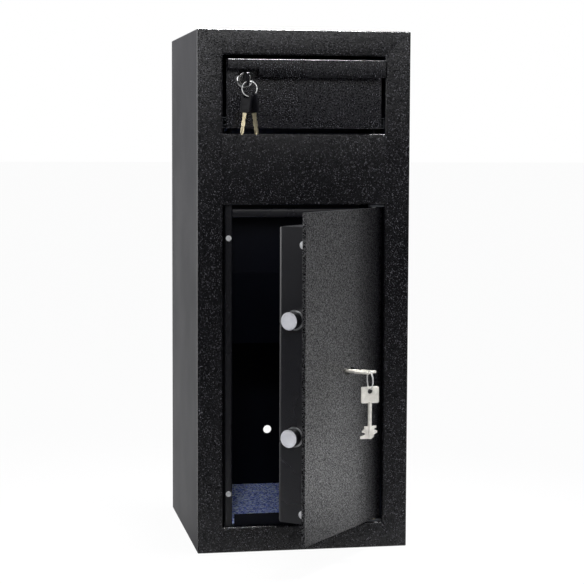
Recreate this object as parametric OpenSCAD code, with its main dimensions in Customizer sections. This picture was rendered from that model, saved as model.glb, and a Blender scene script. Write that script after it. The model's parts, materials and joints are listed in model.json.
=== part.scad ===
// Drop safe with a deposit drawer above a key-locked compartment door.
// Millimetres. The origin is the centre of the base, +Z is up and the front faces -Y.
// Cabinet pieces are written with y = 0 on the front face and moved back by half the depth.
// Door pieces are written with the door shut and turned open about the hinge pin.

/* [Cabinet] */
// Width of the cabinet
body_w = 350; // [346:1:460]
// Height of the cabinet
body_h = 850; // [840:1:1000]
// Depth of the cabinet
body_d = 360; // [340:1:480]
// Thickness of the wrap-round sheet
shell_t = 3; // [2:0.5:4]
// Thickness of the front plate
front_t = 4; // [3:0.5:5]
// Thickness of the back panel
back_t = 3; // [2:0.5:4]
// Outer rounding of the cabinet edges
edge_r = 2.5; // [1:0.5:3]
// Radius of the wall anchor hole in the back panel
anchor_r = 7.5; // [4:0.5:10]
// Height of the wall anchor hole
anchor_z = 142; // [100:1:250]

/* [Front openings] */
// Width of the front's side rails, left and right of both openings
side_rail = 41.5; // [39:0.5:43]
// Height of the front's bottom rail, below the door opening
bottom_rail = 42; // [42:1:50]
// Height of the front's middle rail, between the openings
mid_rail = 115.5; // [110:0.5:125]
// Height of the front's top rail, above the drawer opening
top_rail = 41; // [36:1:46]
// Height of the drawer opening
drawer_open_h = 124.5; // [122:0.5:135]
// Rounding of the bent-in edges of both openings
open_r = 3; // [1.5:0.5:3.5]
// Wall of the bent-in edges
return_t = 3; // [2:0.5:3]
// How far the bent-in edges reach behind the front face
return_d = 6; // [5.5:0.5:6.5]

/* [Floor and stops] */
// Height of the top of the raised floor
pan_z = 40; // [36:1:40]
// Sheet of the raised floor, stops and chute
sheet_t = 2; // [1.5:0.5:2.5]
// Thickness of the felt mat
mat_t = 2; // [1:0.5:3]
// Depth of the stop faces behind the front face
stop_y = 10; // [9.5:0.5:11]
// Width of the side stop face
stop_face = 13; // [11:0.5:14]
// Depth of the folded stop posts behind the front face
post_d = 52; // [50:1:54]
// How far the inner edge of the side stop stands in from the opening's edge
stop_in = 17.1; // [16.5:0.1:17.5]
// Lower edge of the top stop, below the top of the opening
head_drop = 20.3; // [18:0.1:22]
// Height of the threshold bar above the raised floor
sill_h = 21.6; // [18:0.2:24]
// Bend radius of folded sheet
bend_r = 2.8; // [2.6:0.1:3.2]

/* [Chute] */
// Height of the upright baffle below the drawer
baffle_h = 227.5; // [200:0.5:240]
// Run of the chute's slope
slope_run = 143; // [120:1:160]
// Drop of the chute's slope
slope_drop = 134; // [110:1:150]
// How far the bay's side walls reach behind the shut drawer
bay_behind = 42; // [35:1:60]

/* [Door] */
// Angle at which the door stands open
door_rest = 50.5; // [0:0.5:100]
// Thickness of the door plate
door_t = 6; // [5:0.5:6.5]
// How far the shut door lies behind the front face
door_recess = 2; // [1.5:0.5:2]
// Gap between the free edge of the door and the opening
door_gap = 2; // [1.5:0.5:3]
// Gap below the door plate
door_gap_low = 6.4; // [5.5:0.1:7]
// Gap above the door plate
door_gap_top = 5.1; // [4.6:0.1:6]
// Distance from the hinge edge to the pin
pivot_edge = 11; // [10:0.5:12]
// Distance from the outer face of the door to the pin
pivot_depth = 10; // [9.5:0.5:11]
// Radius of the hinge pins
hinge_pin_r = 3.5; // [3:0.25:3.5]
// Radial clearance of turning and sliding fits
fit = 0.06; // [0.02:0.01:0.1]
// Set-back of the bolt cover from the free edge
cover_lip = 19.5; // [19.5:0.5:21]
// Depth of the bolt cover behind the plate
cover_d = 54; // [50:0.2:54]
// Sheet of the bolt cover
cover_t = 1.5; // [1:0.5:2]
// Rounding of the back edges of the bolt cover
cover_r = 8; // [8:0.5:10]
// Bottom of the bolt cover above the door plate's lower edge
cover_low = 31; // [30:1:34]
// Top of the bolt cover below the door plate's upper edge
cover_top = 22.6; // [22.6:0.1:28]

/* [Bolts and lock] */
// Radius of the locking bolts
bolt_r = 14; // [12:0.5:14]
// Half the distance between the bolts
bolt_half = 91; // [80:1:100]
// Depth of the bolt axis behind the outer face of the door
bolt_depth = 30; // [28:0.5:30]
// How far the thrown bolts stand out of the cover
bolt_out = 20; // [17:0.5:20]
// Length of a bolt
bolt_len = 52; // [48:1:56]
// Radial gap round a bolt in the cover and in the stop post
bolt_gap = 2; // [1.5:0.5:2.5]
// Distance of the key axis from the free edge of the door
key_edge = 146.6; // [140:0.2:152]
// Width of the keyhole
keyhole_w = 33; // [32:0.5:34]
// Height of the keyhole
keyhole_h = 10; // [8:0.5:11]
// Radius of the turning lock drum
drum_r = 18; // [17.5:0.5:19]

/* [Door keys] */
// Width of the key bow
bow_w = 29.6; // [27:0.2:30]
// Length of the key bow
bow_l = 26.4; // [25:0.2:28]
// Length of the shank between bow and bit
shank_l = 36; // [34:0.5:37]
// Radius of the shank
shank_r = 3.2; // [2.8:0.1:3.4]
// Length of the bit
bit_l = 21.4; // [20:0.2:22]
// Radius of the hole in the bow
bow_hole_r = 4.1; // [3.8:0.1:4.2]
// Distance of that hole from the end of the bow
bow_hole_in = 7.3; // [7.2:0.1:8]
// How far the bow stands in front of the door
key_out = 15; // [12:0.5:16]
// Middle radius of the ring on the door key
door_ring_r = 14.4; // [14.2:0.1:14.8]
// Wire of the ring on the door key
door_ring_wire = 1.1; // [1:0.1:1.2]
// Turns of each split ring
ring_turns = 1.85; // [1.5:0.05:2]
// Gap between the turns of a split ring
ring_gap = 0.45; // [0.42:0.01:0.5]
// Direction of the hanging door key ring about the vertical
door_ring_turn = 7; // [0:0.5:10]

/* [Deposit drawer] */
// Gap beside the drawer front
panel_side_gap = 6.2; // [5.5:0.1:6.5]
// Depth of the drawer front's bottom flange
panel_flange = 12; // [10:0.5:12]
// Height of the drawer front
panel_h = 108.3; // [106:0.1:110]
// Gap below the drawer front
panel_gap = 7.2; // [6.5:0.1:8]
// How far the drawer front lies behind the front face
panel_recess = 4; // [3:0.5:4]
// Sheet of the drawer front and its pull
panel_t = 2; // [1.5:0.5:2]
// Gap beside the folded pull
pull_side_gap = 5; // [4.5:0.1:5.5]
// How far the pull stands in front of the front face
pull_out = 23; // [20:0.5:26]
// Drop of the pull's lip
pull_drop = 28.5; // [26:0.5:30]
// Height of the notch in the lip above the lock
notch_h = 13.1; // [12:0.1:13.5]
// Length of that notch
notch_w = 49.9; // [48:0.1:52]
// Length of the drawer body
drawer_l = 191.5; // [191:0.5:200]
// Sheet of the drawer body
drawer_t = 1.5; // [1:0.5:1.5]
// Height of the drawer sides
drawer_side_h = 91; // [80:1:95]
// Height of the back wall of the drawer above its sides
drawer_back_up = 18; // [10:1:20]
// Travel of the drawer
travel = 160; // [150:1:160]

/* [Runners] */
// Height of the runners
runner_h = 17; // [16:0.5:17]
// Width of a pair of runners
runner_w = 10; // [9.5:0.1:10.2]
// Sheet of the runners
runner_t = 1.2; // [1:0.1:1.2]
// Length of the fixed runner
runner_l = 220; // [210:1:230]
// Distance of the first rivet behind the drawer front, and of the last before the runner's end
rivet_in = 16; // [12:1:24]
// Radius of the steel balls
ball_r = 1.45; // [1.3:0.05:1.45]
// Balls in each row
ball_n = 3; // [2:1:4]
// Distance between balls
ball_pitch = 16; // [12:1:16]

/* [Tipping floor] */
// Angle of the floor when the drawer is shut
tip_max = 38; // [30:1:38]
// Distance of the floor pivot behind the drawer front
pivot_in = 108; // [106:1:110]
// Height of the floor pivot above the drawer's lower edge
pivot_up = 22; // [21:0.5:23]
// Depth of the floor below its pivot
floor_drop = 14; // [13:0.5:15]
// Reach of the floor in front of the pivot
floor_front = 72; // [68:1:72]
// Reach of the floor behind the pivot
floor_rear = 80; // [76:1:80]
// Distance of the followers behind the pivot
follower_in = 74; // [66:1:74]
// Radius of the followers
follower_r = 5; // [4:0.5:5]
// Gap between the followers and the ramps
follower_gap = 0.2; // [0.1:0.05:0.3]

/* [Drawer lock and keys] */
// Distance of the drawer lock from the left edge of the opening
lock_in = 35; // [34.5:0.5:37.5]
// Height of the drawer lock above the bottom of the opening
lock_up = 85.5; // [84:0.5:86]
// Outer radius of the lock bezel
bezel_r = 14.75; // [13:0.25:15]
// How far the bezel stands in front of the drawer front
bezel_out = 6; // [4:0.5:6]
// Radius of the threaded barrel
barrel_r = 9; // [8:0.5:9.5]
// Length of the barrel behind the outer face of the drawer front
barrel_l = 27; // [26.5:0.5:28]
// Radius of the turning plug
plug_r = 6.5; // [5.5:0.5:6.5]
// Reach of the locking cam
cam_reach = 40; // [39:0.5:40.5]
// Width of the key head
head_w = 22; // [18:0.5:23]
// Length of the key head
head_l = 31; // [29:0.2:31.4]
// Thickness of the key head
head_t = 4.5; // [3.5:0.1:4.6]
// Width of the key blade
blade_w = 8.5; // [7:0.1:9]
// Thickness of the key blade
blade_t = 2.2; // [1.8:0.1:2.4]
// Length of the key blade
blade_l = 35; // [31:0.5:35]
// Width of the slot in the key head
slot_w = 12; // [10:0.5:12]
// Height of the slot in the key head
slot_h = 5.6; // [5.6:0.1:6]
// Distance of the slot from the end of the head
slot_in = 5; // [5:0.1:6]
// Middle radius of the ring on the drawer key
drawer_ring_r = 12; // [11.8:0.1:12.4]
// Wire of the ring on the drawer key
drawer_ring_wire = 1.4; // [1.2:0.1:1.4]
// Turn of the hanging keys about their own length
hang_turn = 55; // [50:1:58]
// Lean of the hanging keys
hang_lean = 8; // [6:0.5:9]

/* [Hidden] */

$fn = 48;
bend_steps = 5;
seat = 0.3;
zinc = [0.78, 0.79, 0.8];
black = [0.13, 0.13, 0.15];
nickel = [0.72, 0.71, 0.68];

// Inside of the cabinet
in_x = body_w / 2 - shell_t;
in_y = body_d - back_t;
in_z = body_h - shell_t;

// Openings and drawer lock
open_w = body_w - 2 * side_rail;
drawer_open_z1 = body_h - top_rail;
drawer_open_z0 = drawer_open_z1 - drawer_open_h;
door_open_z0 = bottom_rail;
door_open_z1 = drawer_open_z0 - mid_rail;
lock_x = open_w / 2 - lock_in;
lock_z = drawer_open_z0 + lock_up;
stop_x = open_w / 2 - stop_in;

// Hinge line: the door's inner corner just clears the opening as it swings
swing_gap = 0.83;
swing_r = sqrt(pivot_edge * pivot_edge + pivot_depth * pivot_depth);
pivot_x = open_w / 2 - swing_gap - swing_r;
pivot_y = door_recess + pivot_depth;
door_x0 = -open_w / 2 + door_gap;
door_x1 = pivot_x + pivot_edge;
door_z0 = door_open_z0 + door_gap_low;
door_z1 = door_open_z1 - door_gap_top;
door_mid = (door_z0 + door_z1) / 2;
door_in = door_recess + door_t;
stop_end_x = pivot_x - swing_r - 1;

// Bolt cover, in the shut door's place
cover_x0 = door_x0 + cover_lip;
cover_x1 = pivot_x - 9.8;
cover_z0 = door_z0 + cover_low;
cover_z1 = door_z1 - cover_top;
bolt_y = door_recess + bolt_depth;
bolt_zs = [door_mid - bolt_half, door_mid + bolt_half];
bolt_tip_x = cover_x0 - bolt_out;
bolt_end_x = bolt_tip_x + bolt_len;

// Hinge hardware
bracket_y0 = return_d + 0.5;
bracket_t = 6;
bracket_r = 9;
lug_half = 8;
lug_y1 = pivot_y + lug_half;
lug_h = 29.6;
washer_r = 7.5;

// Key axis and key placing
key_x = door_x0 + key_edge;
key_z = door_mid;
key_len = bow_l + shank_l + bit_l;
bit_y0 = door_recess - key_out + shank_l;
case_left = 60;
case_right = 34;
case_x0 = key_x - case_left;
case_x1 = key_x + case_right;
case_half = 50;
case_y1 = door_in + 40;
drum_y0 = door_in + 9;
drum_y1 = bit_y0 + bit_l + 1;
tongue_x1 = key_x - drum_r - 23;
tongue_half = 14;
tongue_t = 8;

// Drawer places at rest, shut
panel_y = panel_recess;
panel_z0 = drawer_open_z0 + panel_gap;
panel_z1 = panel_z0 + panel_h;
pull_z1 = panel_z1 + panel_t;
pull_z0 = pull_z1 - pull_drop;
panel_in = panel_y + panel_t;
panel_w = open_w - 2 * panel_side_gap;
pull_w = open_w - 2 * pull_side_gap;
side_x = open_w / 2 - runner_w;
side_z0 = panel_z0 + panel_t + seat;
side_z1 = side_z0 + drawer_side_h;
drawer_y1 = panel_in + drawer_l;
floor_y = panel_y + pivot_in;
floor_z = side_z0 + pivot_up;
floor_top = floor_z - floor_drop;
floor_t = 1.5;
floor_x = side_x - 9.5;
ear_t = 1.5;
follower_x1 = side_x - 3.5;
follower_up = 3.5;
follower_h = floor_drop - follower_up;
bay_drop = 54;
ramp_x0 = floor_x + 2.5;
ramp_x1 = ramp_x0 + 3;
ramp_z0 = side_z0 - bay_drop;
ramp_steps = 24;
sill_top = drawer_open_z0 - return_t + 0.5;
runner_z0 = side_z0 - 1;
runner_y0 = panel_in + 2;

// Chute: upright baffle, then a slope that sends a deposit to the back
baffle_y = 62;
slope_z0 = sill_top - baffle_h;
slope_y1 = baffle_y + slope_run;
slope_z1 = slope_z0 - slope_drop;
bay_d = drawer_y1 + bay_behind;
bay_low = side_z0 - bay_drop;

// Drawer lock depths behind the front face
bezel_y = panel_y - bezel_out;
barrel_y1 = panel_y + barrel_l;
cam_y0 = barrel_y1 + 0.2;
cam_t = 2;
cam_w = 14;
head_y = bezel_y - 3;

// Ring and hanging key places
key_hole_y = head_y - head_l + slot_in;
drawer_ring_x = -lock_x + 3;
drawer_ring_z = lock_z - slot_w / 2 - drawer_ring_r + 2.3;
hang_angle = 18;

// Room above the ring's wire in the slot of a hanging key, for the wire's slope through it
wire_room = 1.8;

// Least gap between the turns of each split ring, measured on its own points
echo(drawer_ring_gap = least_gap(coil(drawer_ring_r, drawer_ring_wire), drawer_ring_wire));
echo(door_ring_gap = least_gap(coil(door_ring_r, door_ring_wire), door_ring_wire));

// Frames
module front() {
    translate([0, -body_d / 2, 0]) children();
}

module on_door() {
    front()
        translate([pivot_x, pivot_y, 0])
            rotate([0, 0, door_rest])
                translate([-pivot_x, -pivot_y, 0]) children();
}

// Point of the shut door as it stands with the door open, from the front face
function door_point(x, y) = [
    pivot_x + (x - pivot_x) * cos(door_rest) - (y - pivot_y) * sin(door_rest),
    pivot_y + (x - pivot_x) * sin(door_rest) + (y - pivot_y) * cos(door_rest)
];

module along_x(x0, x1) {
    translate([x0, 0, 0]) rotate([90, 0, 90]) linear_extrude(x1 - x0) children();
}

module along_y(y0, y1) {
    translate([0, y1, 0]) rotate([90, 0, 0]) linear_extrude(y1 - y0) children();
}

module along_z(z0, z1) {
    translate([0, 0, z0]) linear_extrude(z1 - z0) children();
}

module box(x0, x1, y0, y1, z0, z1) {
    translate([x0, y0, z0]) cube([x1 - x0, y1 - y0, z1 - z0]);
}

module rod_x(x0, x1, y, z, r) {
    translate([x0, y, z]) rotate([0, 90, 0]) cylinder(h = x1 - x0, r = r);
}

module rod_y(y0, y1, x, z, r) {
    translate([x, y0, z]) rotate([-90, 0, 0]) cylinder(h = y1 - y0, r = r);
}

module both_sides() {
    children();
    mirror([1, 0, 0]) children();
}

// Folded sheet: a path with rounded corners, given a thickness to its left
function unit(v) = v / norm(v);
function left(v) = [-v[1], v[0]];
function turn(u, v) = atan2(u[0] * v[1] - u[1] * v[0], u * v);
function corner_arc(p, u, v, r) =
    let (a = turn(u, v), start = p - u * r * tan(abs(a) / 2), c = start + left(u) * r * sign(a),
        a0 = atan2(start[1] - c[1], start[0] - c[0]))
    [for (i = [0:bend_steps]) c + r * [cos(a0 + a * i / bend_steps), sin(a0 + a * i / bend_steps)]];
function rounded(p, r) = [for (i = [0:len(p) - 1])
    each i == 0 || i == len(p) - 1
        ? [p[i]]
        : corner_arc(p[i], unit(p[i] - p[i - 1]), unit(p[i + 1] - p[i]), r)];
function side_of(p, i) = left(unit(p[i + 1] - p[i]));
function miter(p, i, t) =
    let (m = side_of(p, max(i - 1, 0)) + side_of(p, min(i, len(p) - 2))) p[i] + m * t * 2 / (m * m);
function ribbon(p, t) = concat(p, [for (i = [len(p) - 1:-1:0]) miter(p, i, t)]);

module folded(path, t, r = bend_r) {
    polygon(ribbon(rounded(path, r), t));
}

module rounded_rect(w, h, r) {
    square([w - 2 * r, h], center = true);
    square([w, h - 2 * r], center = true);
    for (x = [-1, 1], y = [-1, 1]) translate([x * (w / 2 - r), y * (h / 2 - r)]) circle(r);
}

// Rectangle from y = 0 to d whose two corners on the far side are rounded
module round_far(x0, x1, d, r) {
    translate([x0, 0]) square([x1 - x0, d - r]);
    translate([x0 + r, 0]) square([x1 - x0 - 2 * r, d]);
    for (x = [x0 + r, x1 - r]) translate([x, d - r]) circle(r);
}

// Waste left of a quarter round, for an edge at the origin
module edge_waste(r) {
    difference() {
        translate([-1, -1]) square(r + 1);
        translate([r, r]) circle(r);
    }
}

// Split ring: one unbroken wire wound round the X axis
ring_sides = 6;
ring_per_turn = 24;
function coil(r, wire) =
    let (n = round(ring_turns * ring_per_turn), pitch = wire + ring_gap)
    [for (i = [0:n]) let (a = 360 * ring_turns * i / n)
        [pitch * ring_turns * (i / n - 0.5), r * sin(a), r * cos(a)]];
function least_gap(c, wire) = min([for (i = [0:len(c) - 1], j = [0:len(c) - 1])
    if (j - i > ring_per_turn / 2) norm(c[i] - c[j])]) - wire;

module split_ring(r, wire) {
    c = coil(r, wire);
    n = len(c);
    points = [for (i = [0:n - 1], k = [0:ring_sides - 1])
        let (out = unit([0, c[i][1], c[i][2]]), a = 360 * k / ring_sides)
        c[i] + wire / 2 * (cos(a) * out + sin(a) * [1, 0, 0])];
    wall = [for (i = [0:n - 2], k = [0:ring_sides - 1])
        let (a = i * ring_sides + k, b = i * ring_sides + (k + 1) % ring_sides,
            d = a + ring_sides, e = b + ring_sides)
        each [[a, d, b], [b, d, e]]];
    first = [for (k = [1:ring_sides - 2]) [0, k, k + 1]];
    last_ring = (n - 1) * ring_sides;
    last = [for (k = [1:ring_sides - 2]) [last_ring, last_ring + k + 1, last_ring + k]];
    polyhedron(points, concat(wall, first, last));
}

// Pan-head screw with a cross recess, head towards -Y, seated on y = 0
screw_r = 1.8;
screw_hole_r = 2;
module pan_screw(head_r, head_h, length) {
    difference() {
        rotate([90, 0, 0]) rotate_extrude() {
            square([head_r, head_h * 0.4]);
            intersection() {
                square([head_r, head_h]);
                translate([0, head_h - head_r * 1.6]) circle(head_r * 1.6);
            }
        }
        for (a = [0, 90]) rotate([0, a, 0])
            translate([-head_r * 0.5, -head_h - 1, -head_r * 0.11])
                cube([head_r, 1 + head_h * 0.6, head_r * 0.22]);
    }
    rotate([-90, 0, 0]) cylinder(h = length, r = screw_r);
}

// Cabinet pieces

// Sides, top and bottom as one wrapped sheet
module body_shell() {
    color([0.3, 0.3, 0.31]) front() along_y(front_t, body_d) difference() {
        translate([0, body_h / 2]) rounded_rect(body_w, body_h, edge_r);
        translate([-in_x, shell_t]) square([2 * in_x, in_z - shell_t]);
    }
}

module back_panel() {
    color(black) front() difference() {
        box(-in_x, in_x, in_y, body_d, shell_t, in_z);
        rod_y(in_y - 1, body_d + 1, 0, anchor_z, anchor_r);
    }
}

// Bent-in tube round an opening
module opening_tube(w, z0, z1) {
    box(-w / 2 - return_t, w / 2 + return_t, front_t / 2, return_d, z0 - return_t, z1 + return_t);
}

// Opening with rounded front edges
module opening_cut(w, z0, z1) {
    box(-w / 2, w / 2, -1, return_d + 1, z0, z1);
    both_sides() along_z(z0, z1) translate([w / 2, 0]) edge_waste(open_r);
    translate([-w / 2, 0, z1]) rotate([90, 0, 90]) linear_extrude(w) edge_waste(open_r);
    translate([-w / 2, 0, z0]) mirror([0, 0, 1]) rotate([90, 0, 90]) linear_extrude(w)
        edge_waste(open_r);
}

module front_plate() {
    color(black) front() difference() {
        union() {
            intersection() {
                along_y(0, front_t) translate([0, body_h / 2]) rounded_rect(body_w, body_h, edge_r);
                translate([0, front_t, 0]) mirror([0, 1, 0]) along_z(0, body_h)
                    round_far(-body_w / 2, body_w / 2, front_t, edge_r);
                along_x(-body_w / 2, body_w / 2) translate([front_t, 0]) rotate(90)
                    round_far(0, body_h, front_t, edge_r);
            }
            opening_tube(open_w, door_open_z0, door_open_z1);
            opening_tube(open_w, drawer_open_z0, drawer_open_z1);
        }
        opening_cut(open_w, door_open_z0, door_open_z1);
        opening_cut(open_w, drawer_open_z0, drawer_open_z1);
    }
}

// Raised floor: a tray turned upside down
module floor_pan() {
    color(black) front() along_x(-in_x, in_x)
        folded([[return_d, shell_t], [return_d, pan_z], [in_y, pan_z], [in_y, shell_t]], -sheet_t);
}

// Felt mat with a tongue that reaches forward between the posts
mat_front = stop_y + 18;
module floor_mat() {
    margin = 2;
    color([0.3, 0.35, 0.52]) front() along_z(pan_z, pan_z + mat_t) {
        translate([-in_x + margin, post_d + margin])
            square([2 * (in_x - margin), in_y - post_d - 2 * margin]);
        translate([-stop_x + 3, mat_front + seat])
            square([stop_x + open_w / 2 - 6, post_d - mat_front + margin]);
    }
}

// Lock-side post: stop face, web with two bolt holes, and a rear flange to the side wall
post_top = door_open_z1 + 21;
stop_screw_x = -stop_x - stop_face / 2;
stop_screw_zs = [door_z0 + 47, door_z1 - 49];
module strike_post() {
    lip = [-stop_x - stop_face, stop_y + 6];
    color(black) front() difference() {
        along_z(pan_z, post_top) folded([lip, [lip[0], stop_y], [-stop_x, stop_y],
            [-stop_x, post_d], [-in_x, post_d]], sheet_t);
        for (z = bolt_zs) rod_x(-stop_x - sheet_t - 1, -stop_x + 1, bolt_y, z, bolt_r + bolt_gap);
        for (z = stop_screw_zs) rod_y(stop_y - 1, stop_y + sheet_t + 1, stop_screw_x, z, screw_hole_r);
    }
}

module hinge_post() {
    color(black) front() along_z(pan_z, post_top)
        folded([[open_w / 2, return_d], [open_w / 2, post_d], [in_x, post_d]], -sheet_t);
}

head_face = 14.2;
module head_stop() {
    z = door_open_z1 - head_drop;
    color(black) front() along_x(-stop_x, stop_end_x)
        folded([[stop_y + 6, z + head_face], [stop_y, z + head_face], [stop_y, z], [post_d, z],
            [post_d, post_top]], sheet_t);
}

// Angle on the raised floor that the foot of the door shuts against
module threshold_bar() {
    color(black) front() along_x(-stop_x + 3.4, stop_end_x)
        folded([[stop_y, pan_z + sill_h], [stop_y, pan_z], [mat_front, pan_z]], sheet_t);
}

module stop_screws() {
    color(zinc) front() for (z = stop_screw_zs)
        translate([stop_screw_x, stop_y, z]) pan_screw(4.6, 1.6, sheet_t);
}

// Zinc plates that carry the hinge pins
module hinge_brackets() {
    color(zinc) front() for (z = [pan_z, door_z1 + 1.1]) along_z(z, z + bracket_t) difference() {
        intersection() {
            union() {
                translate([pivot_x, pivot_y]) circle(bracket_r);
                translate([pivot_x, bracket_y0])
                    square([open_w / 2 - pivot_x, pivot_y + bracket_r - bracket_y0]);
            }
            translate([0, bracket_y0]) square([body_w / 2, body_d]);
        }
        translate([pivot_x, pivot_y]) circle(hinge_pin_r + fit);
    }
}

// Washer that the lower lug turns on
module hinge_washer() {
    z = pan_z + bracket_t;
    color([0.75, 0.6, 0.3]) front() along_z(z, door_z0 - seat) difference() {
        translate([pivot_x, pivot_y]) circle(washer_r);
        translate([pivot_x, pivot_y]) circle(hinge_pin_r + fit);
    }
}

// Side walls of the drawer bay, with the slot that the locking cam turns into
module bay_sides() {
    color(black) front() difference() {
        both_sides() along_x(open_w / 2, open_w / 2 + sheet_t)
            polygon([[return_d, sill_top + sheet_t], [baffle_y + sheet_t + 0.5, sill_top + sheet_t],
                [baffle_y + sheet_t + 0.5, bay_low], [bay_d, bay_low], [bay_d, in_z],
                [return_d, in_z]]);
        box(-open_w / 2 - sheet_t - 1, -open_w / 2 + 1, cam_y0 - 2, cam_y0 + cam_t + 2,
            lock_z - cam_reach * 0.65, lock_z + cam_w / 2 + 2);
    }
}

module chute_plate() {
    color([0.2, 0.2, 0.23]) front() along_x(-in_x, in_x)
        folded([[return_d, sill_top], [baffle_y, sill_top], [baffle_y, slope_z0],
            [slope_y1, slope_z1]], sheet_t);
}

module fixed_runners() {
    x1 = open_w / 2;
    z1 = runner_z0 + runner_h;
    color(zinc) front() both_sides() along_y(runner_y0, runner_y0 + runner_l)
        folded([[x1 - 6.5, z1], [x1, z1], [x1, runner_z0], [x1 - 6.5, runner_z0]], -runner_t, 1.5);
}

// Ramps that the floor's followers roll down: the track of the follower as the drawer
// slides and the floor tips in step, set down by the follower's radius
function follower_at(s) = let (a = tip_max * (1 - s / travel)) [
    floor_y - s + follower_in * cos(a) - follower_h * sin(a),
    floor_z - follower_in * sin(a) - follower_h * cos(a)
];
function ramp_point(s) = let (u = unit(follower_at(s - 0.5) - follower_at(s + 0.5)))
    follower_at(s) - left(u) * (follower_r + follower_gap);
module cam_ramps() {
    top = [for (i = [0:ramp_steps]) ramp_point(travel * (1 - i / ramp_steps))];
    front_y = top[0][0] - 8;
    rear = top[ramp_steps];
    low = sill_top + sheet_t + 1.5;
    foot_y = baffle_y + sheet_t + 1.5;
    color(zinc) front() both_sides() {
        along_x(ramp_x0, ramp_x1) polygon(concat([[front_y, top[0][1]]], top,
            [[rear[0] + 8, rear[1]], [rear[0] + 8, ramp_z0], [foot_y, ramp_z0], [foot_y, low],
            [front_y, low]]));
        box(ramp_x1 - 1, open_w / 2, foot_y + 4, rear[0], ramp_z0, ramp_z0 + sheet_t);
    }
}

// Door pieces

module keyhole(y0, y1) {
    r = keyhole_h / 2;
    along_y(y0, y1) translate([key_x, key_z]) {
        square([keyhole_w - 2 * r, keyhole_h], center = true);
        for (x = [-1, 1]) translate([x * (keyhole_w / 2 - r), 0]) circle(r);
    }
}

module door_plate() {
    color(black) on_door() difference() {
        box(door_x0, door_x1, door_recess, door_in, door_z0, door_z1);
        keyhole(door_recess - 1, door_in + 1);
    }
}

// Rounded block of the cover, drawn in from its outside by the sheet
module cover_block(inset, y1) {
    r = cover_r - inset;
    intersection() {
        along_z(cover_z0, cover_z1) translate([0, door_in])
            round_far(cover_x0 + inset, cover_x1 - inset, y1 - door_in, r);
        translate([0, door_in, 0]) along_x(cover_x0, cover_x1) mirror([1, 0]) rotate(90)
            round_far(cover_z0 + inset, cover_z1 - inset, y1 - door_in, r);
    }
}

cover_screw_zs = [cover_z0 + 15, cover_z1 - 28];
cover_screw_y = door_recess + 15;
module bolt_cover() {
    y1 = door_in + cover_d;
    color(black) on_door() difference() {
        cover_block(0, y1);
        difference() {
            cover_block(cover_t, y1 - cover_t);
            box(cover_x0 - 1, cover_x1 + 1, door_in - 2, door_in - 1, cover_z0, cover_z1);
        }
        for (z = bolt_zs) rod_x(cover_x0 - 1, cover_x0 + cover_t + 1, bolt_y, z, bolt_r + bolt_gap);
        for (z = cover_screw_zs) rod_x(cover_x0 - 1, cover_x1 + 1, cover_screw_y, z, screw_hole_r);
    }
}

// Angles inside the cover that take its screws
module cover_brackets() {
    x0 = cover_x0 + cover_t;
    x1 = cover_x1 - cover_t;
    color(zinc) on_door() for (z = cover_screw_zs) difference() {
        along_z(z - 9, z + 9) {
            folded([[x0 + 16, door_in], [x0, door_in], [x0, door_in + 20]], -sheet_t);
            folded([[x1 - 16, door_in], [x1, door_in], [x1, door_in + 20]], sheet_t);
        }
        rod_x(x0 - 1, x1 + 1, cover_screw_y, z, screw_hole_r);
    }
}

// Low wide heads on both sides of the cover
cover_head_r = 6.4;
module cover_screws() {
    reach = cover_t + sheet_t;
    color(zinc) on_door() for (z = cover_screw_zs, side = [-1, 1])
        translate([side < 0 ? cover_x0 : cover_x1, cover_screw_y, z]) rotate([0, 0, side * 90])
            pan_screw(cover_head_r, 1.6, reach);
}

// Lugs welded behind the plate, each holding one pin
lug_zs = [door_z0, door_z1 - lug_h];
module hinge_lugs() {
    color(black) on_door() for (z = lug_zs) along_z(z, z + lug_h) difference() {
        translate([pivot_x - lug_half, door_in]) {
            square([2 * lug_half, lug_y1 - door_in - lug_half / 2]);
            translate([lug_half / 2, 0]) square([lug_half, lug_y1 - door_in]);
            for (x = [lug_half / 2, lug_half * 1.5])
                translate([x, lug_y1 - door_in - lug_half / 2]) circle(lug_half / 2);
        }
        translate([pivot_x, pivot_y]) circle(hinge_pin_r);
    }
}

module hinge_pins() {
    color(zinc) on_door() translate([pivot_x, pivot_y, 0]) {
        translate([0, 0, pan_z + 1]) cylinder(h = door_z0 + lug_h - 2 - pan_z - 1, r = hinge_pin_r);
        translate([0, 0, door_z1 - lug_h + 2]) cylinder(h = lug_h + 4.6, r = hinge_pin_r);
    }
}

case_screw_xs = [case_x0 + 10, case_x1 - 10];
case_screw_zs = [key_z - case_half + 9, key_z + case_half - 9];

// Lock case with the drum's bore and the tongue's passage
module lock_case() {
    y0 = drum_y0 - 1;
    color(zinc) on_door() difference() {
        along_y(door_in, case_y1) translate([(case_x0 + case_x1) / 2, key_z])
            rounded_rect(case_x1 - case_x0, 2 * case_half, 4);
        rod_y(y0, case_y1 + 1, key_x, key_z, drum_r + fit);
        keyhole(door_in - 1, y0 + 1);
        for (x = case_screw_xs, z = case_screw_zs)
            rod_y(case_y1 - 8, case_y1 + 1, x, z, screw_hole_r);
        box(case_x0 - 1, key_x - drum_r + 4, bolt_y - tongue_t / 2 - seat, bolt_y + tongue_t / 2 + seat,
            key_z - tongue_half - seat, key_z + tongue_half + seat);
    }
}

module lock_case_screws() {
    color(zinc) on_door() for (x = case_screw_xs, z = case_screw_zs)
        translate([x, case_y1, z]) rotate([0, 0, 180])
            pan_screw(4, 2.2, 6);
}

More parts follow.
